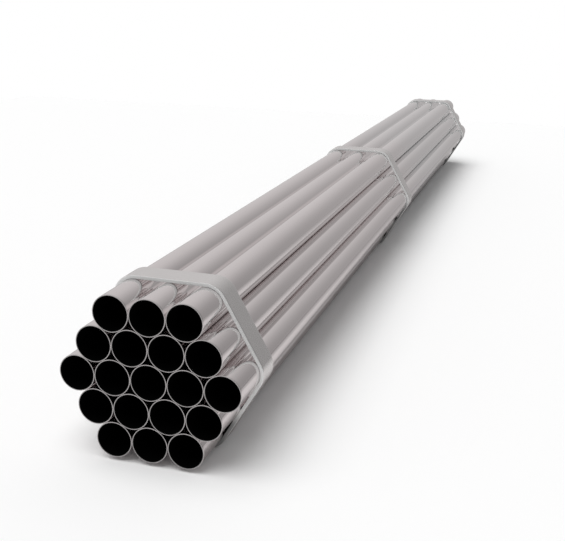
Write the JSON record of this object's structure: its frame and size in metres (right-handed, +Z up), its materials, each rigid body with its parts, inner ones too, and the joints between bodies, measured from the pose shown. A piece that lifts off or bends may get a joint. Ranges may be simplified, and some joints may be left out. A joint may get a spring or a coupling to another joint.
{
  "type": "bundle of steel pipes",
  "caption": "Hexagonal bundle of long thin-walled round steel pipes, bound by flat steel bands and lying on one flat side.",
  "frame": {"origin": "on the floor under the middle of the bundle, at the level of the bands' undersides", "axes": "+Y along the pipes, away from the front ends; +Z up; +X to the right as seen from the front"},
  "size_m": [0.3146, 3, 0.2823],
  "materials": {
    "pipe_steel": "satin drawn steel",
    "band_steel": "satin rolled steel"
  },
  "bodies": {
    "root": {"pipe_row1_1": "pipe_steel", "pipe_row1_2": "pipe_steel", "pipe_row1_3": "pipe_steel", "pipe_row2_1": "pipe_steel", "pipe_row2_2": "pipe_steel", "pipe_row2_3": "pipe_steel", "pipe_row2_4": "pipe_steel", "pipe_row3_1": "pipe_steel", "pipe_row3_2": "pipe_steel", "pipe_row3_3": "pipe_steel", "pipe_row3_4": "pipe_steel", "pipe_row3_5": "pipe_steel", "pipe_row4_1": "pipe_steel", "pipe_row4_2": "pipe_steel", "pipe_row4_3": "pipe_steel", "pipe_row4_4": "pipe_steel", "pipe_row5_1": "pipe_steel", "pipe_row5_2": "pipe_steel", "pipe_row5_3": "pipe_steel", "front_band": "band_steel", "middle_band": "band_steel", "rear_band": "band_steel"}
  },
  "joints": []
}
